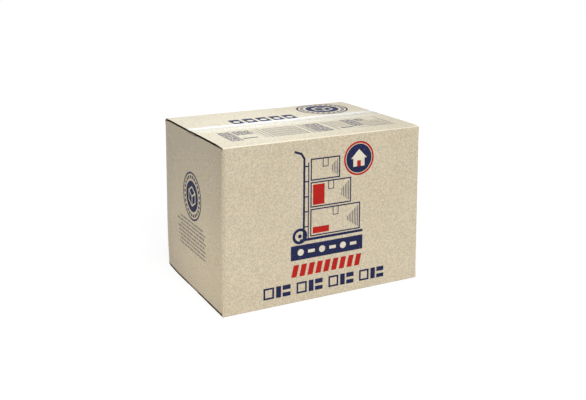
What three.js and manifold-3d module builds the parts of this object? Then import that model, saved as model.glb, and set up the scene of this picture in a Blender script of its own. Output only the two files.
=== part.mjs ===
// A small moving carton, closed and taped: one folded corrugated blank and two strips of tape.
// Millimetres, +Z up, long side along X, centred on the origin and standing on z = 0.

import * as THREE from 'three';
import { mergeVertices } from 'three/addons/utils/BufferGeometryUtils.js';
import Module from 'manifold-3d';

// Driving dimensions of the closed carton, outside faces.
const LENGTH = 406;
const DEPTH = 288;
// Floor to the level of the top folds.
const HEIGHT = 305;

// The board: two liners with a fluted layer between them.
const BOARD = 4;
const LINER = 0.5;
// How far the flutes stand open where the board is cut along them.
const GROOVE_DEPTH = 4;
const FOLD_RADIUS = 5;

// The flaps.
const SEAM_GAP = 2;
// The big flaps end this far inside the end faces.
const END_INSET = 1.5;
// Free room beside the small flaps, measured from the long panels.
const SLOT_ROOM = 1;
// How far a big flap's sheet runs down its panel before the wall takes over.
const FOLD_LEG = 1;
const LAYER_GAP = 0.3;
// The big top flaps ride up over the small ones by this much, over this run from their folds.
const CROWN = 4;
const CROWN_RUN = 37;
const CROWN_STEPS = 10;
// A small top flap is pressed up into the crown, and so is its panel over the last stretch.
const ARCH_LEG = 24;
const ARCH_STEPS = 40;
// The big bottom flaps bend in a little towards their seam.
const BOTTOM_RISE = 0.5;
const BOTTOM_FLAT = 60;
const BOTTOM_RAMP = 40;

// The glued joint at the back right corner.
const TAB_WIDTH = 35;
const TAB_TAPER = 8;

// The tape.
const TAPE_WIDTH = 50;
const TAPE_THICKNESS = 0.25;
const TAPE_TAIL = 50;

const ARC_STEPS = 7;

const wasm = await Module();
wasm.setup();

// Points on a quarter circle, from one angle to another, in degrees.
function arcPoints(centreX, centreY, radius, fromAngle, toAngle) {
  const points = [];
  for (let step = 0; step <= ARC_STEPS; step += 1) {
    const share = step / ARC_STEPS;
    const angle = THREE.MathUtils.degToRad(fromAngle + (toAngle - fromAngle) * share);
    const x = centreX + radius * Math.cos(angle);
    const y = centreY + radius * Math.sin(angle);
    points.push(new THREE.Vector2(x, y));
  }
  return points;
}

// The unit vector to the right of the step between two points.
function rightOf(from, to) {
  const along = to.clone().sub(from).normalize();
  return new THREE.Vector2(along.y, -along.x);
}

// A line moved sideways to its right by a distance, its corners mitred.
function offsetLine(points, distance) {
  return points.map((point, index) => {
    const before = points[index - 1];
    const after = points[index + 1];
    const first = before ? rightOf(before, point) : rightOf(point, after);
    const second = after ? rightOf(point, after) : first;
    const middle = first.clone().add(second).normalize();
    const reach = distance / middle.dot(first);
    return point.clone().addScaledVector(middle, reach);
  });
}

// The closed outline of a sheet whose outer face follows the line.
function sheetShape(outerLine, thickness) {
  const innerLine = offsetLine(outerLine, thickness).reverse();
  return new THREE.Shape([...outerLine, ...innerLine]);
}

function rectangleShape(left, right, bottom, top) {
  return new THREE.Shape([
    new THREE.Vector2(left, bottom),
    new THREE.Vector2(right, bottom),
    new THREE.Vector2(right, top),
    new THREE.Vector2(left, top),
  ]);
}

function extrude(shape, depth, steps = 1) {
  return new THREE.ExtrudeGeometry(shape, { depth, bevelEnabled: false, steps });
}

// A shape drawn in (y, z), extruded along X between two stations.
function extrudeAlongX(shape, fromX, toX) {
  const axisX = new THREE.Vector3(0, 1, 0);
  const axisY = new THREE.Vector3(0, 0, 1);
  const axisZ = new THREE.Vector3(1, 0, 0);
  const turn = new THREE.Matrix4().makeBasis(axisX, axisY, axisZ);
  return extrude(shape, toX - fromX).applyMatrix4(turn).translate(fromX, 0, 0);
}

// A shape drawn in (x, z), extruded along Y between two stations.
function extrudeAlongY(shape, fromY, toY, steps = 1) {
  const axisX = new THREE.Vector3(1, 0, 0);
  const axisY = new THREE.Vector3(0, 0, 1);
  const axisZ = new THREE.Vector3(0, -1, 0);
  const turn = new THREE.Matrix4().makeBasis(axisX, axisY, axisZ);
  return extrude(shape, toY - fromY, steps).applyMatrix4(turn).translate(0, toY, 0);
}

// A shape drawn in (x, y), extruded upwards between two levels.
function extrudeAlongZ(shape, fromZ, toZ) {
  return extrude(shape, toZ - fromZ).translate(0, 0, fromZ);
}

function solidOf(geometry) {
  const bare = new THREE.BufferGeometry();
  bare.setAttribute('position', geometry.getAttribute('position').clone());
  if (geometry.index) {
    bare.setIndex(geometry.index.clone());
  }
  const merged = mergeVertices(bare, 1e-4);
  const mesh = new wasm.Mesh({
    numProp: 3,
    vertProperties: new Float32Array(merged.getAttribute('position').array),
    triVerts: new Uint32Array(merged.index.array),
  });
  return new wasm.Manifold(mesh);
}

function unite(geometries) {
  return geometries.map(solidOf).reduce((whole, next) => whole.add(next));
}

function meshOf(solid, name, material) {
  const result = solid.getMesh();
  const geometry = new THREE.BufferGeometry();
  const positions = new THREE.Float32BufferAttribute(result.vertProperties, 3);
  geometry.setAttribute('position', positions);
  geometry.setIndex(new THREE.Uint32BufferAttribute(result.triVerts, 1));
  const faceted = geometry.toNonIndexed();
  faceted.computeVertexNormals();
  const mesh = new THREE.Mesh(faceted, material);
  mesh.name = name;
  return mesh;
}

// Levels that follow from the driving dimensions. Both are measured from the plane of the folds.
const topMinorDrop = BOARD + LAYER_GAP;
const bottomMinorDrop = BOARD + LAYER_GAP + BOTTOM_RISE;
const wallTop = HEIGHT - topMinorDrop - FOLD_RADIUS;
const wallBottom = bottomMinorDrop + FOLD_RADIUS;
const bottomWallTop = HEIGHT - wallBottom;
const flapEndX = LENGTH / 2 - END_INSET;
const flapReach = (DEPTH - SEAM_GAP) / 2;
const minorHalfWidth = DEPTH / 2 - BOARD - SLOT_ROOM;

// The outer face of one flap and of the panel below its fold.
// The first number of each point runs inwards from the panel's face, the second runs up.
// The rise lists how far the flap stands off its fold level at each distance.
function flapLine(startLevel, foldLevel, reach, rise) {
  const fold = arcPoints(FOLD_RADIUS, foldLevel - FOLD_RADIUS, FOLD_RADIUS, 180, 90);
  const sloped = rise.map(([distance, height]) => new THREE.Vector2(distance, foldLevel + height));
  const endHeight = rise.length ? rise[rise.length - 1][1] : 0;
  const end = new THREE.Vector2(reach, foldLevel + endHeight);
  return [new THREE.Vector2(0, startLevel), ...fold, ...sloped, end];
}

// How far a big top flap stands above its fold level, at a distance from its panel.
function crownAt(distance) {
  const share = THREE.MathUtils.clamp((distance - FOLD_RADIUS) / CROWN_RUN, 0, 1);
  return CROWN * Math.sin((Math.PI / 2) * share);
}

function crownRise() {
  const rise = [];
  for (let step = 1; step <= CROWN_STEPS; step += 1) {
    const distance = FOLD_RADIUS + (CROWN_RUN * step) / CROWN_STEPS;
    rise.push([distance, crownAt(distance)]);
  }
  return rise;
}

// Presses a small top flap up against the underside of the crown, from its panel's top edge on.
function archUp(geometry) {
  const position = geometry.getAttribute('position');
  for (let index = 0; index < position.count; index += 1) {
    const level = position.getZ(index);
    const share = THREE.MathUtils.clamp((level - wallTop) / ARCH_LEG + 1, 0, 1);
    const lift = crownAt(DEPTH / 2 - Math.abs(position.getY(index)));
    position.setZ(index, level + share * lift);
  }
  return geometry;
}

function bottomRise() {
  return [[BOTTOM_FLAT, 0], [BOTTOM_FLAT + BOTTOM_RAMP, -BOTTOM_RISE]];
}

function moved(line, offset) {
  return line.map((point) => new THREE.Vector2(point.x + offset, point.y));
}

// The open groove between the liners, at both cut ends of a big flap.
function endGrooves(line) {
  const shape = sheetShape(offsetLine(line, LINER), BOARD - 2 * LINER);
  return [
    extrudeAlongX(shape, -flapEndX - 1, -flapEndX + GROOVE_DEPTH),
    extrudeAlongX(shape, flapEndX - GROOVE_DEPTH, flapEndX + 1),
  ];
}

// A big flap over the front panel, with its grooves, seen as a top flap.
function majorFlap(startLevel, rise) {
  const line = moved(flapLine(startLevel, HEIGHT, flapReach, rise), -DEPTH / 2);
  const grooveLine = line.slice(1);
  return {
    sheet: extrudeAlongX(sheetShape(line, BOARD), -flapEndX, flapEndX),
    grooves: endGrooves(grooveLine),
  };
}

// A small flap over the left end panel, seen as a top flap.
function minorFlap(startLevel, drop, steps) {
  const line = moved(flapLine(startLevel, HEIGHT - drop, flapReach, []), -LENGTH / 2);
  return extrudeAlongY(sheetShape(line, BOARD), -minorHalfWidth, minorHalfWidth, steps);
}

function turnedToFarSide(geometry) {
  return geometry.clone().rotateZ(Math.PI);
}

// Turns a top flap over about the X axis, so that it closes the bottom.
function turnedToBottom(geometry) {
  return geometry.clone().rotateX(Math.PI).translate(0, 0, HEIGHT);
}

// The wall in plan, from the back left corner round the front to the glued tab.
function wallLine() {
  const right = LENGTH / 2;
  const back = DEPTH / 2;
  const radius = FOLD_RADIUS;
  const tabEnd = right - BOARD - TAB_WIDTH;
  return [
    new THREE.Vector2(tabEnd, back - BOARD),
    ...arcPoints(right - radius, back - BOARD - radius, radius, 90, 0),
    ...arcPoints(right - radius, radius - back, radius, 0, -90),
    ...arcPoints(radius - right, radius - back, radius, -90, -180),
    ...arcPoints(radius - right, back - radius, radius, 180, 90),
    new THREE.Vector2(0, back),
  ];
}

function backPanelShape() {
  return rectangleShape(0, flapEndX, DEPTH / 2 - BOARD, DEPTH / 2);
}

// The slanted cuts at the top and bottom of the glued tab.
function tabCuts() {
  const outer = LENGTH / 2 - FOLD_RADIUS;
  const inner = LENGTH / 2 - BOARD - TAB_WIDTH - 1;
  const nearSide = DEPTH / 2 - 2 * BOARD - 1;
  const farSide = DEPTH / 2 - BOARD;
  const top = new THREE.Shape([
    new THREE.Vector2(outer, wallTop),
    new THREE.Vector2(outer, wallTop + 1),
    new THREE.Vector2(inner, wallTop + 1),
    new THREE.Vector2(inner, wallTop - TAB_TAPER),
  ]);
  const bottom = new THREE.Shape([
    new THREE.Vector2(outer, wallBottom),
    new THREE.Vector2(inner, wallBottom + TAB_TAPER),
    new THREE.Vector2(inner, wallBottom - 1),
    new THREE.Vector2(outer, wallBottom - 1),
  ]);
  return [top, bottom].map((shape) => extrudeAlongY(shape, nearSide, farSide));
}

// The open groove in the raw edge of the back panel at the glued joint.
function jointGroove() {
  const shape = rectangleShape(
    flapEndX - GROOVE_DEPTH,
    flapEndX + 1,
    DEPTH / 2 - BOARD + LINER,
    DEPTH / 2 - LINER,
  );
  return extrudeAlongZ(shape, wallBottom - 1, wallTop + 1);
}

function cartonSolid() {
  const topMajor = majorFlap(wallTop - FOLD_LEG, crownRise());
  const bottomMajor = majorFlap(bottomWallTop - FOLD_LEG, bottomRise());
  const topMinor = archUp(minorFlap(wallTop - ARCH_LEG, topMinorDrop, ARCH_STEPS));
  const bottomMinor = turnedToBottom(minorFlap(bottomWallTop - ARCH_LEG, bottomMinorDrop, 1));
  const bottomSheet = turnedToBottom(bottomMajor.sheet);
  const bottomGrooves = bottomMajor.grooves.map(turnedToBottom);
  const walls = unite([
    extrudeAlongZ(sheetShape(wallLine(), BOARD), wallBottom, wallTop),
    extrudeAlongZ(backPanelShape(), wallBottom, wallTop),
  ]);
  const flaps = unite([
    topMajor.sheet,
    turnedToFarSide(topMajor.sheet),
    bottomSheet,
    turnedToFarSide(bottomSheet),
    topMinor,
    turnedToFarSide(topMinor),
    bottomMinor,
    turnedToFarSide(bottomMinor),
  ]);
  const grooves = [...topMajor.grooves, ...bottomGrooves];
  const cuts = unite([
    ...grooves,
    ...grooves.map(turnedToFarSide),
    ...tabCuts(),
    jointGroove(),
  ]);
  return walls.add(flaps).subtract(cuts);
}

// The sticky face of a strip of tape laid along X, with a tail down each end.
// It turns down in the room that the big flaps leave at their ends.
function tapeLine(faceLevel, tailLevel) {
  const side = LENGTH / 2;
  const radius = END_INSET;
  return [
    new THREE.Vector2(side, tailLevel),
    ...arcPoints(side - radius, faceLevel - radius, radius, 0, 90),
    ...arcPoints(radius - side, faceLevel - radius, radius, 90, 180),
    new THREE.Vector2(-side, tailLevel),
  ];
}

function tapeSolid(faceLevel) {
  const line = tapeLine(faceLevel, faceLevel - TAPE_TAIL);
  const strip = sheetShape(line, TAPE_THICKNESS);
  return extrudeAlongY(strip, -TAPE_WIDTH / 2, TAPE_WIDTH / 2);
}

const boardMaterial = new THREE.MeshStandardMaterial({ color: 0xb99f7c, roughness: 0.9 });
const tapeMaterial = new THREE.MeshStandardMaterial({ color: 0xe6e1d6, roughness: 0.25 });

const topTape = tapeSolid(HEIGHT + CROWN);
const bottomTape = turnedToBottom(tapeSolid(HEIGHT - BOTTOM_RISE));

const carton = new THREE.Group();
carton.name = 'small_moving_carton';
carton.add(
  meshOf(cartonSolid(), 'carton', boardMaterial),
  meshOf(solidOf(topTape), 'top_tape', tapeMaterial),
  meshOf(solidOf(bottomTape), 'bottom_tape', tapeMaterial),
);

export default carton;
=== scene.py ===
"""Looks of the small moving carton: board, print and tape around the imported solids.

Lengths are in millimetres until a mesh is made. The frame is the solids' own: X along the
seam, -Y out of the printed front panel, Z up, the floor at zero.
"""

import math
import random

import bmesh
import bpy
import numpy as np
from mathutils import Matrix, Vector, noise


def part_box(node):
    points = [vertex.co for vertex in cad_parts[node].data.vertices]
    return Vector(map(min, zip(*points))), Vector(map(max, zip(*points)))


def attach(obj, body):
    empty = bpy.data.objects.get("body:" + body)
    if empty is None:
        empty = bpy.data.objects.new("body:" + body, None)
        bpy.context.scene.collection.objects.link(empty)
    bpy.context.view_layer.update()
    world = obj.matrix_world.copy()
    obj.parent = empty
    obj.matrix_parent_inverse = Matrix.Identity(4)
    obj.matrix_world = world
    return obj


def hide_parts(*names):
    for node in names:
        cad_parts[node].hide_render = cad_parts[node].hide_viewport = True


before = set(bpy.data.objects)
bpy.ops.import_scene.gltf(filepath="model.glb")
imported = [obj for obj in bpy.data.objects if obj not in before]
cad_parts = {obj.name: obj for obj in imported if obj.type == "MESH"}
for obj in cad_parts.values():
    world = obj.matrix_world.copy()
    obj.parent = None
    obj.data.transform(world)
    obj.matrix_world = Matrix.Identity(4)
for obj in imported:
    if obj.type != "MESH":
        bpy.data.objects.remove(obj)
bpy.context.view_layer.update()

MM = 0.001

# The carton's sizes, read from the solids. The crown is what the top flaps rise above their folds.
CARTON_LOW, CARTON_HIGH = (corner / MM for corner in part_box("carton"))
LENGTH = CARTON_HIGH.x - CARTON_LOW.x
DEPTH = CARTON_HIGH.y - CARTON_LOW.y
CAD_CROWN = 4.0
HEIGHT = CARTON_HIGH.z - CAD_CROWN
LEFT = -LENGTH / 2
FRONT = -DEPTH / 2

# The board: its thickness, each of its two liners, and the pitch of its flutes.
BOARD = 4.0
LINER = 0.4
FLUTE_PITCH = 7.9

# Outer radii: the flaps' folds, the upright folds, the soft upright fold next to the camera.
FOLD = 2.2
CORNER_FOLD = 3.4
NEAR_FOLD = 9.0
# The upright folds narrow to this radius over this height at both of their ends.
CORNER_TIP = 1.6
CORNER_TAPER = 24.0

# The open groove in a cut end: its depth, how far that wavers, and the angle of a station's turn.
GROOVE_DEPTH = 9.0
GROOVE_WAVE = 1.2
GROOVE_TURN = 0.7
# Over this length from its fold the cut end of the front top flap is pressed shut.
PINCH = 32.0

# The gap between two big flaps, and how far a cut end lies inside the carton's own end.
SEAM_GAP = 2.0
END_INSET = 1.5
# The small flaps lie this far under the big ones, and this far off the long panels.
LAYER_GAP = 0.3
MINOR_CLEARANCE = 1.0
# The height over which the walls take up the difference between their panels.
ARCH_LEG = 24.0
TAB_WIDTH = 35.0

# Spacings of the mesh's stations. A fold has a count of steps in place of one.
FOLD_STEPS = 8
WALL_STEP = 8.0
EDGE_STEP = 3.0
MINOR_STEP = 6.0
FLAP_STEP = 5.0
# How many stations the plan has over the tab, over an end panel and over a long one.
TAB_STATIONS = 7
END_STATIONS = 37
LONG_STATIONS = 51

# How far each top flap stands above its fold at the seam: at the left end, at the right end.
CROWNS = {"front": (1.3, 1.2), "back": (0.9, 1.2)}
CROWN_RUN = 30.0
# The top flaps' slow unevenness: the size of a wave, its height, and its slice of the noise.
RIPPLE_SIZE = 70.0
RIPPLE_HEIGHT = 0.25
RIPPLE_SLICE = 3.7
# The share by which the carton is longer at the floor and shorter at the top.
TAPER = 0.0147
# The crushed corner at the back left of the floor: how far it reaches and how far it is pushed in.
CRUSH_REACH = 130.0
CRUSH_PUSH = 2.2
# How far the big bottom flaps bend in at the seam, from which distance and over which stretch.
BOTTOM_RISE = 0.5
BOTTOM_FLAT = 60.0
BOTTOM_RUN = 40.0

# The tape: its width, its tails, the thickness of the film and its height above the board.
TAPE_WIDTH = 50.0
TAPE_TAIL = 50.0
TAPE_FILM = 0.1
TAPE_LIFT = 0.22
TAPE_STEP = 2.0
# The film bridges the seam over this distance on either side of it.
SEAM_BRIDGE = 4.0
# The film's bend at the carton's ends: its radius, its steps and where its centre lies.
FILM_BEND = 2.6
BEND_STEPS = 6
BEND_INSET = 3.1
# The flat stretch of the film ends this far inside, and a tail starts this far down.
FLAT_INSET = 3.3
TAIL_START = 3.0
# A painted reflection, a whitish streak along the film: its middle behind the seam, how far that
# wanders, its half width.
REFLECTION_MIDDLE = 18.0
REFLECTION_WANDER = 8.0
REFLECTION_HALF = 9.0
# The share of the half width over which the streak has its full strength.
REFLECTION_CORE = 0.4

# Print stands this far proud of the board, and each later layer this much more.
INK_LIFT = 0.08
INK_STEP = 0.04
# The longest side of a cell of print, along a straight shape and along a ring.
CELL = 6.0
RING_CELL = 4.0

# Greeked writing: lengths of dashes, gaps between them, the height of a line and its pitch.
DASH_LENGTHS = (3.0, 13.0)
DASH_GAPS = (1.6, 2.4)
BLOCK_LINE = 2.4
BLOCK_PITCH = 4.0
# Greeked small print: bars in a word, their widths, the gaps between bars and between words.
WORD_BARS = (3, 9)
BAR_WIDTHS = (1.0, 2.0)
BAR_GAPS = (0.7, 1.1)
BAR_STARTS = (0.0, 0.0, 0.5)
WORD_GAP = 2.0
# Writing too fine to read: the pitch and the height of its lines.
RULE_PITCH = 3.2
RULE_HEIGHT = 0.5

# Camera, solved from the corners of the carton in the photograph.
CAMERA_PLACE = Vector((-724.9, -1413.1, 631.3))
CAMERA_YAW = 27.40
CAMERA_PITCH = 14.86
CAMERA_ROLL = 0.04
FOCAL_PIXELS = 844.7
IMAGE_WIDTH = 586
IMAGE_HEIGHT = 400
OPTICAL_ROW = 170
SENSOR_WIDTH = 36.0

# The share of the floor that is seen as plain glow, how bright that is, and the floor's own grey.
FLOOR_WHITE = 0.6
FLOOR_GLOW = 1.42
FLOOR_SHADE = 0.55
FLOOR_HALF = 6000.0
FLOOR_ROUGHNESS = 0.9
ROOM_LIGHT = 0.17

# Far lights: place, the angle that the light seems to span in degrees, strength.
FAR_LIGHTS = {
    "key": ((300, -2600, 1500), 50, 2.2),
    "sky": ((-300, 200, 3000), 70, 0.5),
}
# Softboxes: place, length of a side, power in watts, colour.
PANELS = {
    "above": ((-100, -40, 700), 200, 1.25, (0.80, 0.91, 1.0)),
    "back": ((500, 3000, 800), 2200, 8, (0.9, 0.96, 1.0)),
    "fill": ((-460, -60, 60), 160, 0.27, (1.0, 0.9, 0.72)),
}

# Colours are sRGB, from 0 to 255.
LINER_COLOUR = (208, 195, 169)
# Painted highlight: the lighter liner colour on the top folds, where light catches their curve.
FOLD_HIGHLIGHT_COLOUR = (236, 225, 199)
# How much lighter and darker than its mean colour the mottle of the liner goes, and the mottle of the
# painted fold highlight.
MOTTLE = 0.3
FOLD_HIGHLIGHT_MOTTLE = 0.08
WARM_TINT = (1.02, 0.93, 0.8)
COOL_TINT = (0.9, 0.95, 1.02)
# Shades of the liner in its broad clouds and in its dark fibres.
CLOUD_SHADE = 1.03
FIBRE_SHADE = 0.78
# The share that the fine mottle has in the liner's colour.
MOTTLE_SHARE = 0.55
BOARD_ROUGHNESS = 0.42
ROUGHNESS_SPREAD = 0.1
# Dark and pale colours of the cut edges, and dark and pale colours of the flutes in the open groove,
# which are near black as painted shade.
CUT_COLOURS = ((150, 132, 104), (186, 168, 138))
GROOVE_SHADE_COLOURS = ((24, 17, 10), (50, 38, 26))
CUT_ROUGHNESS = 0.95

# The inks, and the level of the noise from which the liner shows through each.
NAVY = (17, 24, 66)
NAVY_COVER = 0.62
GREY_NAVY = (64, 64, 88)
GREY_COVER = 0.56
RED = (178, 24, 14)
RED_COVER = 0.64
CREAM = (226, 217, 196)
CREAM_COVER = 0.75
INK_FADE = 0.3
INK_SHADES = (0.9, 1.15)
INK_ROUGHNESS = 0.7
INK_GLOSS = 0.25

# The film's colour where it lies close and where air is under it.
FILM_COLOURS = ((240, 238, 236), (250, 249, 248))
# How much the film hides: anywhere, at a flat angle (partly haze, partly painted reflection), with
# air under it, in its streak of painted reflection, in its bend.
FILM_COVER = 0.02
HAZE_AND_REFLECTION_COVER = 0.2
AIR_COVER = 0.08
REFLECTION_COVER = 0.65
SCUFF_COVER = 0.5
FILM_ROUGHNESS = 0.28
FILM_IOR = 1.5

# Depths of the bumps: the washboard of the flutes, the grain of board, ink and cuts, the film.
FLUTE_BUMP = 0.03
BOARD_BUMP = 0.12
INK_BUMP = 0.1
GRAIN_STRENGTH = 0.5
CUT_BUMP = 0.3
FILM_BUMP = 0.5
FILM_STRENGTH = 0.06

# The places of the four materials in the carton's list.
BOARD_PICK = 0
CUT_PICK = 1
GROOVE_SHADE_PICK = 2
FOLD_HIGHLIGHT_PICK = 3
# The first step of a top fold that takes the painted highlight. The steps after it do as well.
HIGHLIGHT_STEP = 3

# Points nearer than this, in metres, are welded. Sharper turns than this, in degrees, stay sharp.
WELD = 1e-7
SMOOTH_ANGLE = 35


def linear(colour):
    """An sRGB colour of 0 to 255 as the linear colour a shader takes."""
    shares = [channel / 255 for channel in colour]
    values = [s / 12.92 if s <= 0.04045 else ((s + 0.055) / 1.055) ** 2.4 for s in shares]
    return (*values, 1.0)


class Nodes:
    """Adds and links the shader nodes of one material."""

    def __init__(self, name):
        self.material = bpy.data.materials.new(name)
        self.material.use_nodes = True
        self.tree = self.material.node_tree
        self.shader = self.tree.nodes["Principled BSDF"]
        self.place = self.add("ShaderNodeTexCoord").outputs["Object"]

    def add(self, kind, **settings):
        node = self.tree.nodes.new(kind)
        for key, value in settings.items():
            setattr(node, key, value)
        return node

    def link(self, source, target):
        self.tree.links.new(source, target)

    def math(self, operation, first, second=0):
        node = self.add("ShaderNodeMath", operation=operation)
        for socket, value in zip(node.inputs, (first, second)):
            if isinstance(value, (int, float)):
                socket.default_value = value
            else:
                self.link(value, socket)
        return node.outputs[0]

    def split(self, vector):
        """The X, Y and Z of a vector."""
        node = self.add("ShaderNodeSeparateXYZ")
        self.link(vector, node.inputs[0])
        return node.outputs

    def facing(self):
        """The X, Y and Z of the surface's direction."""
        return self.split(self.add("ShaderNodeNewGeometry").outputs["Normal"])

    def noise(self, scale, detail=3.0, stretch=(1, 1, 1), roughness=0.5):
        """Noise from about 0 to 1, its scale per metre."""
        mapping = self.add("ShaderNodeMapping")
        mapping.inputs["Scale"].default_value = stretch
        self.link(self.place, mapping.inputs["Vector"])
        node = self.add("ShaderNodeTexNoise")
        node.inputs["Scale"].default_value = scale
        node.inputs["Detail"].default_value = detail
        node.inputs["Roughness"].default_value = roughness
        self.link(mapping.outputs[0], node.inputs["Vector"])
        return node.outputs["Fac"]

    def ramp(self, factor, low, high):
        """0 up to the low value and 1 from the high one on. Low can be the greater."""
        node = self.add("ShaderNodeMapRange")
        node.inputs["From Min"].default_value = low
        node.inputs["From Max"].default_value = high
        self.link(factor, node.inputs["Value"])
        return node.outputs["Result"]

    def mix(self, factor, first, second):
        """The first colour at 0, the second at 1."""
        node = self.add("ShaderNodeMix", data_type="RGBA")
        self.link(factor, node.inputs["Factor"])
        for socket, value in zip((node.inputs["A"], node.inputs["B"]), (first, second)):
            if isinstance(value, tuple):
                socket.default_value = value
            else:
                self.link(value, socket)
        return node.outputs["Result"]

    def bump(self, height, distance, strength=1.0, before=None):
        """Bumps of a depth in millimetres, on top of other bumps if they are given."""
        node = self.add("ShaderNodeBump")
        node.inputs["Distance"].default_value = distance * MM
        node.inputs["Strength"].default_value = strength
        self.link(height, node.inputs["Height"])
        if before is not None:
            self.link(before, node.inputs["Normal"])
        return node.outputs["Normal"]


def shade(colour, factor):
    """A colour made darker or lighter."""
    return tint(colour, (factor, factor, factor))


def tint(colour, factors):
    """A colour with a factor for each channel."""
    return tuple(channel * factor for channel, factor in zip(linear(colour), factors)) + (1.0,)


def flute_bump(nodes):
    """The faint washboard of the flutes: across X on the long faces, across Y on the ends."""
    position = nodes.split(nodes.place)
    is_end = nodes.math("GREATER_THAN", nodes.math("ABSOLUTE", nodes.facing()["X"]), 0.7)
    waves = []
    for axis in ("X", "Y"):
        angle = nodes.math("MULTIPLY", position[axis], math.tau / (FLUTE_PITCH * MM))
        waves.append(nodes.math("SINE", angle))
    blend = nodes.add("ShaderNodeMix", data_type="FLOAT")
    nodes.link(is_end, blend.inputs["Factor"])
    nodes.link(waves[0], blend.inputs["A"])
    nodes.link(waves[1], blend.inputs["B"])
    return nodes.bump(blend.outputs["Result"], FLUTE_BUMP)


def liner_colour(nodes, base, contrast=MOTTLE):
    """Recycled liner: broad clouds, a fine mottle and a few dark fibres."""
    clouds = nodes.ramp(nodes.noise(9.0, detail=2.0), 0.35, 0.65)
    tints = nodes.ramp(nodes.noise(130.0, detail=2.0), 0.3, 0.7)
    flecks = nodes.noise(370.0, detail=2.0, stretch=(1.0, 1.0, 0.8), roughness=0.6)
    mottle = nodes.ramp(flecks, 0.34, 0.66)
    strands = nodes.noise(900.0, detail=2.0, stretch=(1.0, 1.0, 0.3))
    fibres = nodes.ramp(strands, 0.68, 0.76)
    warm = nodes.mix(tints, tint(base, COOL_TINT), tint(base, WARM_TINT))
    cloudy = nodes.mix(clouds, warm, shade(base, CLOUD_SHADE))
    light = nodes.mix(mottle, shade(base, 1 - contrast), shade(base, 1 + contrast))
    body = nodes.add("ShaderNodeMix", data_type="RGBA")
    body.inputs["Factor"].default_value = MOTTLE_SHARE
    nodes.link(cloudy, body.inputs["A"])
    nodes.link(light, body.inputs["B"])
    return nodes.mix(fibres, body.outputs["Result"], shade(base, FIBRE_SHADE))


def add_grain(nodes, depth):
    """Fine grain on top of the washboard of the flutes."""
    grain = nodes.noise(700.0, detail=5.0)
    bump = nodes.bump(grain, depth, GRAIN_STRENGTH, flute_bump(nodes))
    nodes.link(bump, nodes.shader.inputs["Normal"])


def board_material(name, colour, contrast=MOTTLE):
    """Kraft liner: mottled, a little glossy at a flat angle, with the flutes just showing."""
    nodes = Nodes(name)
    nodes.link(liner_colour(nodes, colour, contrast), nodes.shader.inputs["Base Color"])
    uneven = nodes.math("MULTIPLY", nodes.noise(60.0), ROUGHNESS_SPREAD)
    nodes.link(nodes.math("ADD", uneven, BOARD_ROUGHNESS), nodes.shader.inputs["Roughness"])
    add_grain(nodes, BOARD_BUMP)
    return nodes.material


def cut_material(name, dark, pale):
    """The raw edge of the board: browner, rougher, with torn fibres. The flutes in the open groove
    use it too, with near-black colours that paint the groove's shade.
    """
    nodes = Nodes(name)
    fibre = nodes.ramp(nodes.noise(500.0, detail=4.0), 0.3, 0.7)
    colour = nodes.mix(fibre, linear(dark), linear(pale))
    nodes.link(colour, nodes.shader.inputs["Base Color"])
    nodes.shader.inputs["Roughness"].default_value = CUT_ROUGHNESS
    torn = nodes.bump(nodes.noise(900.0, detail=4.0), CUT_BUMP)
    nodes.link(torn, nodes.shader.inputs["Normal"])
    return nodes.material


def ink_material(name, colour, cover):
    """Water-based ink that lets some of the liner through where the board gives way."""
    nodes = Nodes(name)
    liner = liner_colour(nodes, LINER_COLOUR)
    flecks = nodes.noise(380.0, detail=4.0, roughness=0.7)
    thin = nodes.ramp(flecks, cover, cover + INK_FADE)
    shift = nodes.ramp(nodes.noise(30.0), 0.3, 0.7)
    ink = nodes.mix(shift, *(shade(colour, factor) for factor in INK_SHADES))
    nodes.link(nodes.mix(thin, ink, liner), nodes.shader.inputs["Base Color"])
    nodes.shader.inputs["Roughness"].default_value = INK_ROUGHNESS
    nodes.shader.inputs["Specular IOR Level"].default_value = INK_GLOSS
    add_grain(nodes, INK_BUMP)
    return nodes.material


def rear_painted_reflection(nodes):
    """1 along the tape's rear part, where a whitish reflection is painted on the film, fading out on
    both sides.
    """
    bend = nodes.math("SUBTRACT", nodes.noise(9.0, detail=1.0), 0.5)
    wander = nodes.math("MULTIPLY", bend, REFLECTION_WANDER * MM)
    middle = nodes.math("ADD", wander, REFLECTION_MIDDLE * MM)
    away = nodes.math("ABSOLUTE", nodes.math("SUBTRACT", nodes.split(nodes.place)["Y"], middle))
    return nodes.ramp(away, REFLECTION_HALF * MM, REFLECTION_HALF * MM * REFLECTION_CORE)


def flatness(nodes):
    """1 where the film lies on the top or the bottom, 0 on its tails."""
    return nodes.ramp(nodes.math("ABSOLUTE", nodes.facing()["Z"]), 0.5, 0.9)


def scuffed_bend(nodes):
    """1 where the film bends under the carton, whitened by being dragged over floors."""
    down = nodes.math("MULTIPLY", nodes.facing()["Z"], -1)
    return nodes.math("MULTIPLY", nodes.ramp(down, 0.1, 0.4), nodes.ramp(down, 0.98, 0.8))


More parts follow.
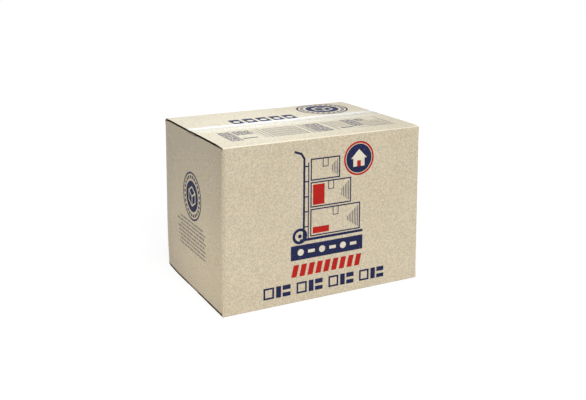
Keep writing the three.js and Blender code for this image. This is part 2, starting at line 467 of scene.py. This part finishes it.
def tape_material():
    """Clear packing tape: a glossy film, a little milky where air lies under it, whiter at a flat
    angle partly from haze and partly from painted reflection, with a streak of painted reflection
    along its rear part.
    """
    nodes = Nodes("tape")
    shader = nodes.shader
    air = nodes.ramp(nodes.noise(38.0, stretch=(0.5, 1.6, 1.0)), 0.45, 0.75)
    colour = nodes.mix(air, *(linear(colour) for colour in FILM_COLOURS))
    nodes.link(colour, shader.inputs["Base Color"])
    # Whiter at a flat angle: partly haze of the film, partly painted reflection.
    slant = nodes.add("ShaderNodeLayerWeight")
    slant.inputs["Blend"].default_value = 0.5
    haze_and_reflection = nodes.math("POWER", slant.outputs["Facing"], 2.0)
    milky = nodes.math("ADD", nodes.math("MULTIPLY", air, AIR_COVER), HAZE_AND_REFLECTION_COVER)
    # The streak along the rear part is painted reflection.
    reflection = nodes.math("MULTIPLY", rear_painted_reflection(nodes), REFLECTION_COVER)
    shine = nodes.math("MULTIPLY", haze_and_reflection, nodes.math("ADD", milky, reflection))
    lying = nodes.math("MULTIPLY", shine, flatness(nodes))
    scuffed = nodes.math("MULTIPLY", scuffed_bend(nodes), SCUFF_COVER)
    film = nodes.math("ADD", lying, scuffed)
    nodes.link(nodes.math("ADD", film, FILM_COVER), shader.inputs["Alpha"])
    shader.inputs["Roughness"].default_value = FILM_ROUGHNESS
    shader.inputs["IOR"].default_value = FILM_IOR
    wrinkles = nodes.noise(30.0, detail=0.0, stretch=(0.3, 1.5, 1.0))
    nodes.link(nodes.bump(wrinkles, FILM_BUMP, FILM_STRENGTH), shader.inputs["Normal"])
    return nodes.material


BOARD_LOOK = board_material("board", LINER_COLOUR)
# A lighter board that paints the highlight along the top folds.
FOLD_HIGHLIGHT_LOOK = board_material("board_fold_highlight", FOLD_HIGHLIGHT_COLOUR, FOLD_HIGHLIGHT_MOTTLE)
CUT_LOOK = cut_material("board_cut", *CUT_COLOURS)
# The inside of the open groove, near black as painted shade.
GROOVE_SHADE_LOOK = cut_material("board_groove_shade", *GROOVE_SHADE_COLOURS)
NAVY_LOOK = ink_material("ink_navy", NAVY, NAVY_COVER)
GREY_LOOK = ink_material("ink_grey", GREY_NAVY, GREY_COVER)
RED_LOOK = ink_material("ink_red", RED, RED_COVER)
CREAM_LOOK = ink_material("ink_cream", CREAM, CREAM_COVER)
TAPE_LOOK = tape_material()


def mesh_object(name, points, faces, materials, picks=None):
    """An object from points in millimetres, its doubles welded and its normals outwards."""
    mesh = bpy.data.meshes.new(name)
    mesh.from_pydata([tuple(c * MM for c in point) for point in points], [], faces)
    for material in materials:
        mesh.materials.append(material)
    if picks is not None:
        mesh.polygons.foreach_set("material_index", picks)
    work = bmesh.new()
    work.from_mesh(mesh)
    bmesh.ops.remove_doubles(work, verts=work.verts, dist=WELD)
    bmesh.ops.recalc_face_normals(work, faces=work.faces)
    work.to_mesh(mesh)
    work.free()
    mesh.shade_smooth()
    mesh.set_sharp_from_angle(angle=math.radians(SMOOTH_ANGLE))
    piece = bpy.data.objects.new(name, mesh)
    bpy.context.scene.collection.objects.link(piece)
    return piece


def settle(point):
    """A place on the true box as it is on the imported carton, which spreads a little at its foot."""
    x, y, z = point
    near = max(1 - math.dist(point, (LEFT, -FRONT, 0)) / CRUSH_REACH, 0.0)
    push = CRUSH_PUSH * near ** 3
    return (x * (1 - TAPER * (2 * z / HEIGHT - 1)) + push, y - push, z + 0.5 * push)


class Skin:
    """Collects grids of points into one mesh, each grid with a material of its own."""

    def __init__(self):
        self.points = []
        self.faces = []
        self.picks = []

    def add_grid(self, grid, pick=BOARD_PICK, highlighted=()):
        """A grid of points as quads. The highlighted columns of quads take the painted highlight of a
        fold.
        """
        rows, columns = grid.shape[:2]
        first = len(self.points)
        self.points.extend(map(tuple, grid.reshape(-1, 3)))
        for row in range(rows - 1):
            for column in range(columns - 1):
                corner = first + row * columns + column
                face = (corner, corner + 1, corner + columns + 1, corner + columns)
                self.faces.append(face)
                self.picks.append(FOLD_HIGHLIGHT_PICK if column in highlighted else pick)

    def add_rim(self, outer, inner, towards, open_share):
        """The cut edge between two lines of points, open between its liners where it is grooved."""
        if open_share is None:
            self.add_grid(np.stack([outer, inner]), CUT_PICK)
            return
        inwards = towards - outer
        inwards /= np.linalg.norm(inwards, axis=1, keepdims=True)
        across = inner - outer
        gap = (1 - 2 * LINER / BOARD) * open_share[:, None]
        near_liner = outer + across * (1 - gap) / 2
        far_liner = outer + across * (1 + gap) / 2
        turn = np.arange(len(outer))[:, None] * GROOVE_TURN
        depth = (GROOVE_DEPTH + GROOVE_WAVE * np.sin(turn)) * open_share[:, None]
        lines = [
            outer,
            near_liner,
            near_liner + inwards * depth,
            far_liner + inwards * depth,
            far_liner,
            inner,
        ]
        self.add_grid(np.stack(lines[:2]), CUT_PICK)
        # The groove's inside takes the near-black painted shade.
        self.add_grid(np.stack(lines[1:5]), GROOVE_SHADE_PICK)
        self.add_grid(np.stack(lines[4:]), CUT_PICK)

    def add_sheet(self, outer, inner, grooved=None, highlighted=()):
        """A sheet between two grids. Its sides are named first, last, start and end.

        Grooved says of some sides how far each of their stations is open, from 0 to 1.
        """
        grooved = grooved or {}
        self.add_grid(outer, highlighted=highlighted)
        self.add_grid(inner)
        sides = {
            "first": (outer[0], inner[0], outer[1]),
            "last": (outer[-1], inner[-1], outer[-2]),
            "start": (outer[:, 0], inner[:, 0], outer[:, 1]),
            "end": (outer[:, -1], inner[:, -1], outer[:, -2]),
        }
        for name, (edge, behind, towards) in sides.items():
            self.add_rim(edge, behind, towards, grooved.get(name))

    def build(self, name, materials):
        points = [settle(point) for point in self.points]
        return mesh_object(name, points, self.faces, materials, self.picks)


def spread(start, end, step):
    """Stations from start to end, both included, at most a step apart."""
    count = max(2, math.ceil(abs(end - start) / step) + 1)
    return list(np.linspace(start, end, count))


def ripple(x, y, size, height):
    """A slow unevenness, the same on every run."""
    return noise.noise(Vector((x / size, y / size, RIPPLE_SLICE))) * height


def crown_share(distance):
    """How much of its rise at the seam a top flap has at a distance from its panel."""
    share = min(max((distance - FOLD) / CROWN_RUN, 0.0), 1.0)
    return math.sin(share * math.pi / 2)


def top_rise(side, x, distance):
    """How far a big top flap stands above its fold level."""
    left, right = CROWNS[side]
    along = (x - LEFT) / LENGTH
    height = left + (right - left) * along
    place = distance if side == "front" else -distance
    uneven = ripple(x, place, RIPPLE_SIZE, RIPPLE_HEIGHT)
    return crown_share(distance) * (height + uneven)


def bottom_rise(side, x, distance):
    """The same for a big bottom flap. Both lie alike, so only the distance counts."""
    share = min(max((distance - BOTTOM_FLAT) / BOTTOM_RUN, 0.0), 1.0)
    return -BOTTOM_RISE * share


def fold_profile(fold_level, reach):
    """Stations round a fold and over its flap: distance, level, normal in and normal up."""
    stations = []
    for angle in np.linspace(math.pi, math.pi / 2, FOLD_STEPS + 1):
        normal = (math.cos(angle), math.sin(angle))
        distance = FOLD + FOLD * normal[0]
        level = fold_level - FOLD + FOLD * normal[1]
        stations.append((distance, level, *normal))
    stations += [(d, fold_level, 0.0, 1.0) for d in spread(FOLD, reach, FLAP_STEP)[1:]]
    return stations


def flap_grids(across, profile, place):
    """The outer and inner grids of a flap. The place function sets each point."""
    grids = []
    for depth in (0.0, BOARD):
        rows = []
        for station in across:
            row = [place(station, d - nd * depth, z - nz * depth, d) for d, z, nd, nz in profile]
            rows.append(row)
        grids.append(np.array(rows))
    return grids


def add_major_flap(skin, side, is_top):
    """A big flap with its fold: from the wall's end to the seam."""
    rise = top_rise if is_top else bottom_rise
    facing = 1 if side == "front" else -1

    def place(x, distance, level, surface_distance):
        y = (FRONT + distance) * facing
        z = level + rise(side, x, surface_distance)
        return (x, y, z if is_top else HEIGHT - z)

    end = LENGTH / 2 - END_INSET
    profile = fold_profile(HEIGHT, (DEPTH - SEAM_GAP) / 2)
    outer, inner = flap_grids(spread(-end, end, WALL_STEP), profile, place)
    open_share = np.ones(len(profile))
    if is_top and side == "front":
        distances = np.array([station[0] for station in profile])
        open_share = np.clip((distances - 0.5 * FOLD) / PINCH, 0, 1)
    # The outer steps of a top fold take the painted highlight.
    highlighted = range(HIGHLIGHT_STEP, FOLD_STEPS) if is_top else ()
    skin.add_sheet(outer, inner, grooved={"first": open_share, "last": open_share}, highlighted=highlighted)


def minor_drop(is_top):
    """How far a small flap lies below the level of the big ones, at the top or at the bottom."""
    return BOARD + LAYER_GAP + (0 if is_top else BOTTOM_RISE)


def wall_levels():
    """The levels between which the end panels run plain, below and above the small folds."""
    return minor_drop(False) + FOLD, HEIGHT - minor_drop(True) - FOLD


def on_long_side(normal_y):
    """True on a long panel and on the corner folds, False on an end panel."""
    return abs(normal_y) > 0.05


def arch(y, facing):
    """The small top flaps are pressed up with the big ones at their own end."""
    side = "front" if y < 0 else "back"
    return top_rise(side, LEFT * facing, DEPTH / 2 - abs(y))


def add_minor_flap(skin, facing, is_top):
    """A small flap under the big ones, over one end panel. Facing is 1 on the left."""
    level = HEIGHT - minor_drop(is_top)
    half = DEPTH / 2 - BOARD - MINOR_CLEARANCE

    def place(y, distance, z, surface_distance):
        x = (LEFT + distance) * facing
        if is_top:
            return (x, y, z + arch(y, facing))
        return (x, y, HEIGHT - z)

    profile = fold_profile(level, (DEPTH - SEAM_GAP) / 2)
    outer, inner = flap_grids(spread(-half, half, MINOR_STEP), profile, place)
    skin.add_sheet(outer, inner)


def plan_arc(corner_x, corner_y, radius, start, end):
    """Stations round a corner fold: place and outward normal in plan."""
    centre_x = corner_x - math.copysign(radius, corner_x)
    centre_y = corner_y - math.copysign(radius, corner_y)
    stations = []
    for angle in np.radians(np.linspace(start, end, FOLD_STEPS + 1)):
        normal = (math.cos(angle), math.sin(angle))
        place = (centre_x + radius * normal[0], centre_y + radius * normal[1])
        stations.append((*place, *normal))
    return stations


def plan_run(start, end, normal, count):
    """Stations along a straight panel, its end points left out."""
    start = np.array(start)
    reach = np.array(end) - start
    return [(*(start + reach * share), *normal) for share in np.linspace(0, 1, count)[1:-1]]


def wall_plan(radius, near_radius):
    """The blank in plan: from the glued tab round the right, front and left to the back."""
    side = LENGTH / 2
    back = DEPTH / 2
    inner_back = back - BOARD
    corner_x = side - radius
    corner_y = back - radius
    tab_end = side - BOARD - TAB_WIDTH
    return [
        (tab_end, inner_back, 0, 1),
        *plan_run((tab_end, inner_back), (corner_x, inner_back), (0, 1), TAB_STATIONS),
        *plan_arc(side, inner_back, radius, 90, 0),
        *plan_run((side, inner_back - radius), (side, -corner_y), (1, 0), END_STATIONS),
        *plan_arc(side, -back, radius, 0, -90),
        *plan_run((corner_x, -back), (near_radius - side, -back), (0, -1), LONG_STATIONS),
        *plan_arc(-side, -back, near_radius, -90, -180),
        *plan_run((-side, near_radius - back), (-side, corner_y), (-1, 0), END_STATIONS),
        *plan_arc(-side, back, radius, 180, 90),
        *plan_run((-corner_x, back), (side - END_INSET, back), (0, 1), LONG_STATIONS),
        (side - END_INSET, back, 0, 1),
    ]


def corner_radius(level, fold):
    """The corner folds are round in the middle and pinched sharp by the flaps at both ends."""
    share = min(level, HEIGHT - level) / CORNER_TAPER
    share = min(max(share, 0.0), 1.0)
    return CORNER_TIP + (fold - CORNER_TIP) * math.sin(share * math.pi / 2)


def wall_ends(x, y, normal_y):
    """The lowest and the highest level of the wall at one station."""
    low, high = wall_levels()
    if on_long_side(normal_y):
        return FOLD, HEIGHT - FOLD
    return low, high + arch(y, -math.copysign(1, x))


def wall_point(x, y, normal_x, normal_y, share, depth):
    """A point of the wall. Its outermost stretches take up the difference between the panels."""
    low, high = wall_ends(x, y, normal_y)
    level = HEIGHT * share
    if level < ARCH_LEG:
        level = low + (ARCH_LEG - low) * level / ARCH_LEG
    elif level > HEIGHT - ARCH_LEG:
        level = high + (HEIGHT - ARCH_LEG - high) * (HEIGHT - level) / ARCH_LEG
    return (x - normal_x * depth, y - normal_y * depth, level)


def wall_plan_at(level):
    """The blank in plan at one level, where its folds have the radii of that level."""
    return wall_plan(corner_radius(level, CORNER_FOLD), corner_radius(level, NEAR_FOLD))


def add_walls(skin):
    """The four panels and the tab in one sheet. Its last side is the cut end of the glued joint."""
    edge_levels = spread(0, ARCH_LEG, EDGE_STEP)
    levels = edge_levels + spread(ARCH_LEG, HEIGHT - ARCH_LEG, WALL_STEP)[1:-1]
    levels += [HEIGHT - level for level in reversed(edge_levels)]
    plans = [wall_plan_at(level) for level in levels]
    grids = []
    for depth in (0.0, BOARD):
        rows = []
        for stations in zip(*plans):
            pairs = zip(stations, levels)
            rows.append([wall_point(*station, level / HEIGHT, depth) for station, level in pairs])
        grids.append(np.array(rows))
    skin.add_sheet(*grids, grooved={"last": np.ones(len(levels))})


def build_carton():
    """The whole folded blank as one piece."""
    skin = Skin()
    add_walls(skin)
    for is_top in (True, False):
        for side in ("front", "back"):
            add_major_flap(skin, side, is_top)
        for facing in (1, -1):
            add_minor_flap(skin, facing, is_top)
    carton = skin.build("carton_board", [BOARD_LOOK, CUT_LOOK, GROOVE_SHADE_LOOK, FOLD_HIGHLIGHT_LOOK])
    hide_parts("carton")
    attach(carton, "root")


def film_level(x, y):
    """The board's top face under the tape, bridged smoothly over the seam."""
    blend = min(max((y + SEAM_BRIDGE) / (2 * SEAM_BRIDGE), 0.0), 1.0)
    blend = blend * blend * (3 - 2 * blend)
    distance = DEPTH / 2 - abs(y)
    front = top_rise("front", x, distance)
    back = top_rise("back", x, distance)
    return HEIGHT + front + (back - front) * blend


def film_line(y, lift, is_top):
    """One line of the film, from the foot of the left tail over to the right tail."""
    half = LENGTH / 2
    radius = FILM_BEND + lift
    points = []
    for sign in (-1, 1):
        level = film_level(sign * half, y) if is_top else HEIGHT - BOTTOM_RISE
        drops = spread(TAPE_TAIL, TAIL_START, FLAP_STEP)
        down = [(sign * (half + lift), y, level - drop) for drop in drops]
        bend = []
        for angle in np.linspace(0, math.pi / 2, BEND_STEPS + 1)[1:-1]:
            bend_x = half - BEND_INSET + radius * math.cos(angle)
            bend_z = level - FILM_BEND + radius * math.sin(angle)
            bend.append((sign * bend_x, y, bend_z))
        points.append(down + bend)
    stations = spread(FLAT_INSET - half, half - FLAT_INSET, WALL_STEP)
    if is_top:
        flat = [(x, y, film_level(x, y) + lift) for x in stations]
    else:
        flat = [(x, y, HEIGHT - BOTTOM_RISE + lift) for x in stations]
    return points[0] + flat + points[1][::-1]


def build_tape(name, node, is_top):
    """A strip of film over a seam. The lower one is the upper one turned over."""
    places = spread(-TAPE_WIDTH / 2, TAPE_WIDTH / 2, TAPE_STEP)
    lifts = (TAPE_LIFT + TAPE_FILM, TAPE_LIFT)
    grids = [np.array([film_line(y, lift, is_top) for y in places]) for lift in lifts]
    if not is_top:
        for grid in grids:
            grid[..., 2] = HEIGHT - grid[..., 2]
    skin = Skin()
    skin.add_sheet(*grids)
    skin.picks = [0] * len(skin.picks)
    film = skin.build(name, [TAPE_LOOK])
    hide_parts(node)
    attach(film, "root")


def mitre(first, second):
    """The sideways step at a joint of two pieces of a line, from their two sideways units."""
    total = first + second
    return total * 2 / np.dot(total, total)


class Print:
    """Flat shapes on one face of the carton, in millimetres of that face."""

    def __init__(self, name, place, material):
        self.name = name
        self.place = place
        self.material = material
        self.points = []
        self.faces = []

    def add_face(self, corners, layer=0):
        """One face with corners in order round it."""
        first = len(self.points)
        lift = INK_LIFT + INK_STEP * layer
        self.points.extend(self.place(u, v, lift) for u, v in corners)
        self.faces.append(tuple(range(first, first + len(corners))))

    def add_cells(self, point_at, count_u, count_v, layer):
        """A patch cut into cells. The function takes two shares from 0 to 1."""
        for i in range(count_u):
            for j in range(count_v):
                shares = ((i, j), (i + 1, j), (i + 1, j + 1), (i, j + 1))
                corners = [point_at(a / count_u, b / count_v) for a, b in shares]
                self.add_face(corners, layer)

    def quad(self, corners, layer=0):
        """A four-cornered patch, its corners in order round it."""
        a, b, c, d = (np.array(corner, float) for corner in corners)
        count_u = max(1, math.ceil(np.linalg.norm(b - a) / CELL))
        count_v = max(1, math.ceil(np.linalg.norm(d - a) / CELL))

        def point_at(s, t):
            return tuple((a * (1 - s) + b * s) * (1 - t) + (d * (1 - s) + c * s) * t)

        self.add_cells(point_at, count_u, count_v, layer)

    def rect(self, left, bottom, right, top, layer=0):
        """A filled rectangle."""
        self.quad([(left, bottom), (right, bottom), (right, top), (left, top)], layer)

    def stroke(self, points, width, layer=0, closed=False):
        """A line of one width through some points, mitred where it turns."""
        points = [np.array(point, float) for point in points]
        if closed:
            points = [points[-1], *points, points[0]]
        sides = []
        for start, end in zip(points, points[1:]):
            along = (end - start) / np.linalg.norm(end - start)
            sides.append(np.array((-along[1], along[0])))
        turns = [mitre(a, b) * width / 2 for a, b in zip([sides[0], *sides], [*sides, sides[-1]])]
        joints = list(zip(points, turns))
        if closed:
            joints = joints[1:-1] + joints[1:2]
        for (start, left), (end, right) in zip(joints, joints[1:]):
            self.quad([start - left, end - right, end + right, start + left], layer)

    def frame(self, left, bottom, right, top, width, layer=0):
        """The outline of a rectangle, drawn inwards."""
        self.rect(left, bottom, right, bottom + width, layer)
        self.rect(left, top - width, right, top, layer)
        self.rect(left, bottom + width, left + width, top - width, layer)
        self.rect(right - width, bottom + width, right, top - width, layer)

    def band(self, centre, inner, outer, start=0.0, end=360.0, layer=0):
        """Part of a ring, or of a disc where the inner radius is nought."""
        count = max(3, math.ceil(math.radians(end - start) * outer / RING_CELL))

        def point_at(s, t):
            angle = math.radians(start + (end - start) * s)
            radius = inner + (outer - inner) * t
            return (centre[0] + radius * math.cos(angle), centre[1] + radius * math.sin(angle))

        if inner == 0:
            for i in range(count):
                corners = [centre, point_at(i / count, 1), point_at((i + 1) / count, 1)]
                self.add_face(corners, layer)
        else:
            self.add_cells(point_at, count, 1, layer)

    def build(self):
        """Makes the piece of all shapes added so far."""
        points = [settle(point) for point in self.points]
        piece = mesh_object(self.name, points, self.faces, [self.material])
        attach(piece, "root")


def on_front(u, v, lift):
    """A place on the front, by its distance from the left end and from the floor."""
    return (LEFT + u, FRONT - lift, v)


def on_left_end(u, v, lift):
    """A place on the left end, by its distance from the front panel and from the floor."""
    return (LEFT - lift, FRONT + u, v)


def on_top(u, v, lift):
    """A place on the top, by its distance from the left end and from the front panel."""
    side = "front" if v < DEPTH / 2 else "back"
    distance = v if side == "front" else DEPTH - v
    return (LEFT + u, FRONT + v, HEIGHT + top_rise(side, LEFT + u, distance) + lift)


def draw_carton_outline(ink, left, bottom, right, top, hatch):
    """A carton in line work: outline, tape strip and a few shading strokes."""
    middle = (left + right) / 2
    ink.frame(left, bottom, right, top, 2.4)
    ink.rect(middle - 6, top - 16, middle - 4.4, top - 2.4)
    ink.rect(middle + 4.4, top - 16, middle + 6, top - 2.4)
    ink.rect(middle - 6, top - 17.4, middle + 6, top - 16)
    for number in range(hatch):
        x = right - 6 - number * 3.6
        ink.rect(x, bottom + 5 + number * 2.5, x + 1.3, top - 6 - number * 3)


def draw_hand_truck(navy, red):
    """A hand truck with three cartons, the drawing in the middle of the front."""
    navy.stroke([(158, 121), (158, 270), (152, 279), (138, 284)], 4.2)
    navy.stroke([(167, 121), (167, 262)], 2.2)
    for level in (142, 170, 198, 226, 254):
        navy.rect(160.1, level, 165.9, level + 2.4)
    navy.rect(150, 116, 282, 121)
    navy.band((150, 127), 9.5, 15, layer=1)
    navy.band((150, 127), 0, 4)
    draw_carton_outline(navy, 171, 123, 276, 175, 7)
    draw_carton_outline(navy, 171, 177.5, 256, 225, 5)
    draw_carton_outline(navy, 171, 227.5, 232, 268, 4)
    red.rect(176, 182, 200, 220)
    red.rect(176, 128, 210, 140)


def draw_house_disc(navy, red, cream):
    """A round mark with a plain house in it."""
    centre = (272, 258)
    navy.band(centre, 0, 27)
    red.band(centre, 28.5, 32)
    cream.add_face([(255, 258), (289, 258), (272, 275)], 1)
    cream.rect(260, 243, 284, 258, 1)
    red.rect(268, 243, 276, 254, 2)


def draw_front_rows(navy, red, cream):
    """The bar, the row of red shapes and the row of boxes below the drawing."""
    navy.rect(132, 82, 282, 110)
    for number in range(6):
        x = 145 + number * 22
        if number % 2:
            cream.rect(x, 93, x + 14, 99, 1)
        else:
            cream.band((x + 7, 96), 0, 6.5, layer=1)
    for number in range(9):
        x = 133 + number * 16.4
        red.quad([(x, 50), (x + 11, 50), (x + 16, 73), (x + 5, 73)])
    for group in range(4):
        x = 78 + group * 66
        navy.frame(x, 17, x + 21, 39, 3.6)
        navy.rect(x + 25, 17, x + 35, 39)
        navy.rect(x + 38, 17, x + 54, 25)
        navy.rect(x + 38, 30, x + 54, 39)


def print_front():
    """The print of the front panel, one piece for each ink."""
    navy = Print("front_navy", on_front, NAVY_LOOK)
    red = Print("front_red", on_front, RED_LOOK)
    cream = Print("front_cream", on_front, CREAM_LOOK)
    draw_hand_truck(navy, red)
    draw_house_disc(navy, red, cream)
    draw_front_rows(navy, red, cream)
    for ink in (navy, red, cream):
        ink.build()


def draw_emblem(ink, paper, centre, radius):
    """Rings, a circle of dashes and a box drawn as a cube, in shares of the radius."""
    x, y = centre
    ink.band(centre, radius * 0.93, radius)
    for number in range(24):
        start = number * 15
        ink.band(centre, radius * 0.74, radius * 0.86, start, start + 9)
    ink.band(centre, 0, radius * 0.64)
    size = radius * 0.4
    rim = [(x + size * math.cos(a), y + size * math.sin(a)) for a in np.radians(range(30, 390, 60))]
    width = radius * 0.06
    paper.stroke(rim, width, 1, closed=True)
    for number in (0, 2, 4):
        paper.stroke([centre, rim[number]], width, 2 + number / 2)


def draw_dashes(ink, left, right, level, height, seed):
    """One line of greeked writing: dashes of uneven lengths."""
    pick = random.Random(seed)
    x = left
    while x < right:
        length = min(pick.uniform(*DASH_LENGTHS), right - x)
        ink.rect(x, level, x + length, level + height)
        x += length + pick.uniform(*DASH_GAPS)


def draw_words(ink, left, right, level, height, seed):
    """One line of greeked small print: words of narrow uneven bars."""
    pick = random.Random(seed)
    x = left
    while x < right:
        for _ in range(pick.randint(*WORD_BARS)):
            width = pick.uniform(*BAR_WIDTHS)
            bottom = level + pick.choice(BAR_STARTS)
            ink.rect(x, bottom, x + width, level + height)
            x += width + pick.uniform(*BAR_GAPS)
        x += WORD_GAP


def print_left_end():
    """The emblem of the left end and the eight lines of small print below it."""
    navy = Print("end_navy", on_left_end, NAVY_LOOK)
    cream = Print("end_cream", on_left_end, CREAM_LOOK)
    grey = Print("end_grey", on_left_end, GREY_LOOK)
    middle = DEPTH / 2
    draw_emblem(navy, cream, (middle, 184), 46)
    for number, half in enumerate((52, 64, 58, 66, 60, 65, 62, 64)):
        level = 130 - number * 7.6
        draw_words(grey, middle - half, middle + half, level, 3.2, number)
    for ink in (navy, cream, grey):
        ink.build()


def draw_text_block(ink, left, bottom, right, top, seed):
    """Lines of greeked writing, from the bottom up. The last one can pass the top a little."""
    level = bottom
    while level + 2 <= top:
        draw_dashes(ink, left, right, level, BLOCK_LINE, seed + round(level))
        level += BLOCK_PITCH


def draw_fine_rules(ink, left, bottom, right, top):
    """Writing too fine to read, which shows as a pale grey tone."""
    for level in np.arange(bottom, top, RULE_PITCH):
        ink.rect(left, level, right, level + RULE_HEIGHT)


def draw_form(grey, navy):
    """The printed form on the front flap: blocks of writing, rules and boxes."""
    draw_text_block(grey, 34, 36, 58, 108, 11)
    draw_text_block(grey, 62, 76, 98, 108, 12)
    navy.rect(62, 46, 90, 51)
    for x in (115, 252, 372):
        navy.rect(x, 35, x + 1.4, 111)
    draw_fine_rules(grey, 102, 40, 112, 108)
    draw_fine_rules(grey, 125, 41, 187, 104)
    draw_fine_rules(grey, 255, 56, 288, 108)
    draw_fine_rules(grey, 320, 42, 368, 86)
    grey.frame(122, 38, 190, 106, 1.4)
    for level in (54, 70, 86):
        grey.rect(123.4, level, 188.6, level + 1.2, 1)
    for x in (198, 203):
        navy.rect(x, 35, x + 1.2, 111)
    draw_text_block(grey, 208, 36, 242, 108, 13)
    navy.rect(262, 46, 288, 51)
    draw_text_block(grey, 292, 50, 318, 108, 14)
    draw_text_block(grey, 322, 88, 340, 108, 15)
    grey.rect(292, 38, 370, 39.6)


def print_top():
    """The form of the front flap, and the row of boxes and the emblem of the rear flap."""
    grey = Print("top_grey", on_top, GREY_LOOK)
    navy = Print("top_navy", on_top, NAVY_LOOK)
    cream = Print("top_cream", on_top, CREAM_LOOK)
    draw_form(grey, navy)
    for number in range(5):
        x = 98 + number * 29
        navy.rect(x, 165, x + 22, 205)
        cream.band((x + 11, 185), 0, 7, layer=1)
    draw_emblem(navy, cream, (323, 228), 54)
    for ink in (grey, navy, cream):
        ink.build()


def seen_share(tree):
    """1 for what the camera sees, directly, in a gloss or through a film, and 0 for plain light."""
    path = tree.nodes.new("ShaderNodeLightPath")
    share = path.outputs["Is Camera Ray"]
    for ray in ("Is Glossy Ray", "Is Transmission Ray"):
        either = tree.nodes.new("ShaderNodeMath")
        either.operation = "MAXIMUM"
        tree.links.new(share, either.inputs[0])
        tree.links.new(path.outputs[ray], either.inputs[1])
        share = either.outputs[0]
    return share


def brighten(nodes):
    """Shows most of the floor as plain white to the camera, with the shadow still in it."""
    white = nodes.add("ShaderNodeEmission")
    white.inputs["Strength"].default_value = FLOOR_GLOW
    share = nodes.math("MULTIPLY", seen_share(nodes.tree), FLOOR_WHITE)
    blend = nodes.add("ShaderNodeMixShader")
    nodes.link(share, blend.inputs[0])
    nodes.link(nodes.shader.outputs[0], blend.inputs[1])
    nodes.link(white.outputs[0], blend.inputs[2])
    nodes.link(blend.outputs[0], nodes.tree.nodes["Material Output"].inputs["Surface"])


def build_floor():
    """A plain pale floor that keeps the carton's shadow."""
    signs = ((-1, -1), (1, -1), (1, 1), (-1, 1))
    corners = [(x * FLOOR_HALF, y * FLOOR_HALF, 0) for x, y in signs]
    nodes = Nodes("floor")
    nodes.shader.inputs["Base Color"].default_value = (FLOOR_SHADE, FLOOR_SHADE, FLOOR_SHADE, 1)
    nodes.shader.inputs["Roughness"].default_value = FLOOR_ROUGHNESS
    brighten(nodes)
    floor = mesh_object("floor", corners, [(0, 1, 2, 3)], [nodes.material])


def build_world():
    """Even white room light, and plain white behind the object."""
    world = bpy.data.worlds.new("room")
    bpy.context.scene.world = world
    world.use_nodes = True
    tree = world.node_tree
    light = tree.nodes["Background"]
    light.inputs["Color"].default_value = (1, 1, 1, 1)
    light.inputs["Strength"].default_value = ROOM_LIGHT
    white = tree.nodes.new("ShaderNodeBackground")
    white.inputs["Color"].default_value = (1, 1, 1, 1)
    mix = tree.nodes.new("ShaderNodeMixShader")
    tree.links.new(seen_share(tree), mix.inputs[0])
    tree.links.new(light.outputs[0], mix.inputs[1])
    tree.links.new(white.outputs[0], mix.inputs[2])
    tree.links.new(mix.outputs[0], tree.nodes["World Output"].inputs["Surface"])


def hang_lamp(lamp, place):
    """Hangs a lamp at a place and turns it to the middle of the carton."""
    piece = bpy.data.objects.new(lamp.name, lamp)
    piece.location = Vector(place) * MM
    aim = Vector((0, 0, HEIGHT / 2)) * MM - piece.location
    piece.rotation_euler = aim.to_track_quat("-Z", "Y").to_euler()
    piece.visible_camera = False
    bpy.context.scene.collection.objects.link(piece)


def add_panel(name, place, size, power, colour):
    """A square softbox near the carton."""
    lamp = bpy.data.lights.new(name, "AREA")
    lamp.size = size * MM
    lamp.energy = power
    lamp.color = colour
    hang_lamp(lamp, place)


def add_far_light(name, place, spread_angle, power):
    """A light so far off that it falls evenly on the whole floor."""
    lamp = bpy.data.lights.new(name, "SUN")
    lamp.angle = math.radians(spread_angle)
    lamp.energy = power
    hang_lamp(lamp, place)


def build_camera():
    """The camera of the photograph. Its upright lines call for a small shift."""
    camera = bpy.data.cameras.new("camera")
    camera.sensor_width = SENSOR_WIDTH
    camera.lens = FOCAL_PIXELS / IMAGE_WIDTH * SENSOR_WIDTH
    camera.shift_y = (OPTICAL_ROW - IMAGE_HEIGHT / 2) / IMAGE_WIDTH
    camera.clip_end = 100
    piece = bpy.data.objects.new("camera", camera)
    turn = Matrix.Rotation(math.radians(-CAMERA_YAW), 4, "Z")
    tilt = Matrix.Rotation(math.radians(90 - CAMERA_PITCH), 4, "X")
    roll = Matrix.Rotation(math.radians(CAMERA_ROLL), 4, "Z")
    piece.matrix_world = Matrix.Translation(CAMERA_PLACE * MM) @ turn @ tilt @ roll
    bpy.context.scene.collection.objects.link(piece)
    bpy.context.scene.camera = piece


build_camera()
build_world()
build_floor()
for light_name, light_settings in FAR_LIGHTS.items():
    add_far_light(light_name, *light_settings)
for panel_name, panel_settings in PANELS.items():
    add_panel(panel_name, *panel_settings)
build_carton()
build_tape("tape_top", "top_tape", True)
build_tape("tape_bottom", "bottom_tape", False)
print_front()
print_left_end()
print_top()

bpy.context.scene.view_settings.view_transform = "Standard"
